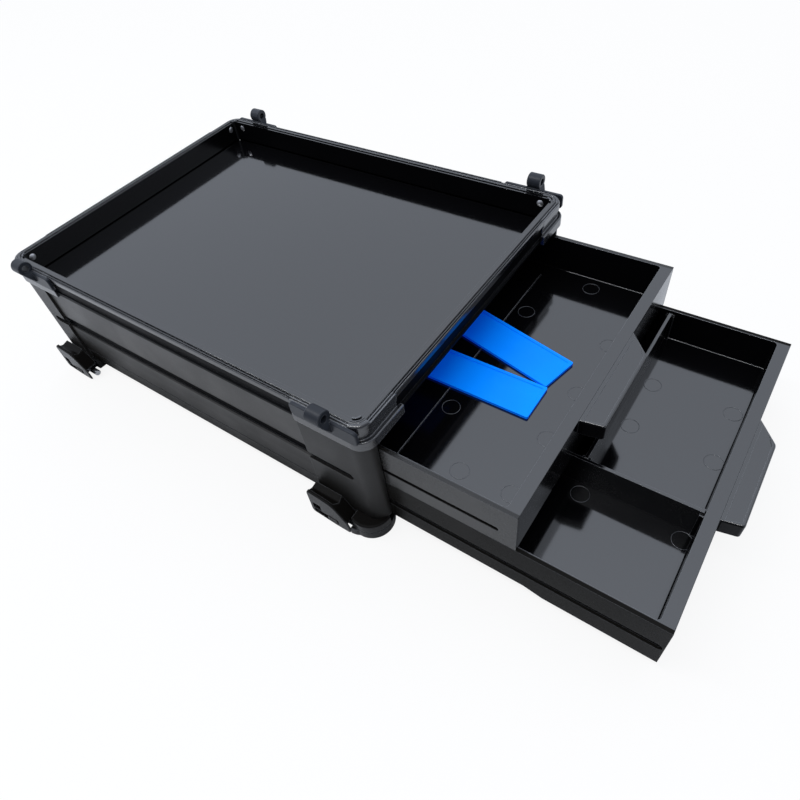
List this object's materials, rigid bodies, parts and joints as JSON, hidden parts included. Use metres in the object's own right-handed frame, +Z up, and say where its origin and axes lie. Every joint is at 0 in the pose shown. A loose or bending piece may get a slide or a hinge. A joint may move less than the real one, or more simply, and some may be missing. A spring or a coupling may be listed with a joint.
{
  "type": "fishing tackle cabinet",
  "caption": "Low stackable tackle cabinet with an open tray on top, pull-out drawers with cup pulls, loose dividers, and sliding latches on its feet that lock to lugs.",
  "frame": {"origin": "on the floor plane, under the middle of the bounding box with the drawers drawn out as modelled", "axes": "+Z up, drawers draw out toward -Y, X across the cabinet"},
  "size_m": [0.3186, 0.6194, 0.1412],
  "materials": {
    "gloss_black": "polished injection moulding",
    "gloss_blue": "glossy moulding",
    "satin_black": "satin moulding",
    "cap_black": "semi-gloss moulding",
    "lug_grey": "satin glass-filled moulding",
    "slider_black": "satin moulding",
    "anodised_black": "black anodised extrusion",
    "runner_black": "slippery satin moulding",
    "rivet_aluminium": "bright",
    "zinc_steel": "zinc plated"
  },
  "bodies": {
    "cabinet": {"back_panel": "satin_black", "back_rail": "anodised_black", "corner_cap_back_left": "cap_black", "corner_cap_back_right": "cap_black", "corner_cap_front_left": "cap_black", "corner_cap_front_right": "cap_black", "corner_post_back_left": "satin_black", "corner_post_back_right": "satin_black", "corner_post_front_left": "satin_black", "corner_post_front_right": "satin_black", "foot_back_left": "satin_black", "foot_back_right": "satin_black", "foot_front_left": "satin_black", "foot_front_right": "satin_black", "foot_screws": "zinc_steel", "front_rail": "anodised_black", "latch_housing_back_left": "satin_black", "latch_housing_back_right": "satin_black", "latch_housing_front_left": "satin_black", "latch_housing_front_right": "satin_black", "latch_screws": "zinc_steel", "lower_runner_left": "runner_black", "lower_runner_right": "runner_black", "lug_screws": "zinc_steel", "runner_screws": "zinc_steel", "side_panel_left": "satin_black", "side_panel_right": "satin_black", "side_rail_left": "anodised_black", "side_rail_right": "anodised_black", "stacking_lug_back_left": "lug_grey", "stacking_lug_back_right": "lug_grey", "stacking_lug_front_left": "lug_grey", "stacking_lug_front_right": "lug_grey", "top_tray": "gloss_black", "tray_rivets": "rivet_aluminium", "upper_runner_left": "runner_black", "upper_runner_right": "runner_black"},
    "upper_drawer": {"upper_drawer": "gloss_black", "blue_divider_a": "gloss_blue", "blue_divider_b": "gloss_blue"},
    "lower_drawer": {"lower_drawer": "gloss_black", "long_divider": "gloss_black", "cross_divider": "gloss_black"},
    "latch_front_left": {"latch_slider_front_left": "slider_black", "latch_bolt_front_left": "zinc_steel"},
    "latch_front_right": {"latch_slider_front_right": "slider_black", "latch_bolt_front_right": "zinc_steel"},
    "latch_back_left": {"latch_slider_back_left": "slider_black", "latch_bolt_back_left": "zinc_steel"},
    "latch_back_right": {"latch_slider_back_right": "slider_black", "latch_bolt_back_right": "zinc_steel"}
  },
  "joints": [
    {"name": "upper_drawer_slide", "type": "slide", "parent": "cabinet", "child": "upper_drawer", "axis": [0, -1, 0], "range_m": [-0.0931, 0.1769]},
    {"name": "lower_drawer_slide", "type": "slide", "parent": "cabinet", "child": "lower_drawer", "axis": [0, -1, 0], "range_m": [-0.1928, 0.0772]},
    {"name": "latch_front_left_slide", "type": "slide", "parent": "cabinet", "child": "latch_front_left", "axis": [0, 1, 0], "range_m": [0, 0.014]},
    {"name": "latch_front_right_slide", "type": "slide", "parent": "cabinet", "child": "latch_front_right", "axis": [0, 1, 0], "range_m": [0, 0.014]},
    {"name": "latch_back_left_slide", "type": "slide", "parent": "cabinet", "child": "latch_back_left", "axis": [0, 1, 0], "range_m": [0, 0.014]},
    {"name": "latch_back_right_slide", "type": "slide", "parent": "cabinet", "child": "latch_back_right", "axis": [0, 1, 0], "range_m": [0, 0.014]}
  ]
}
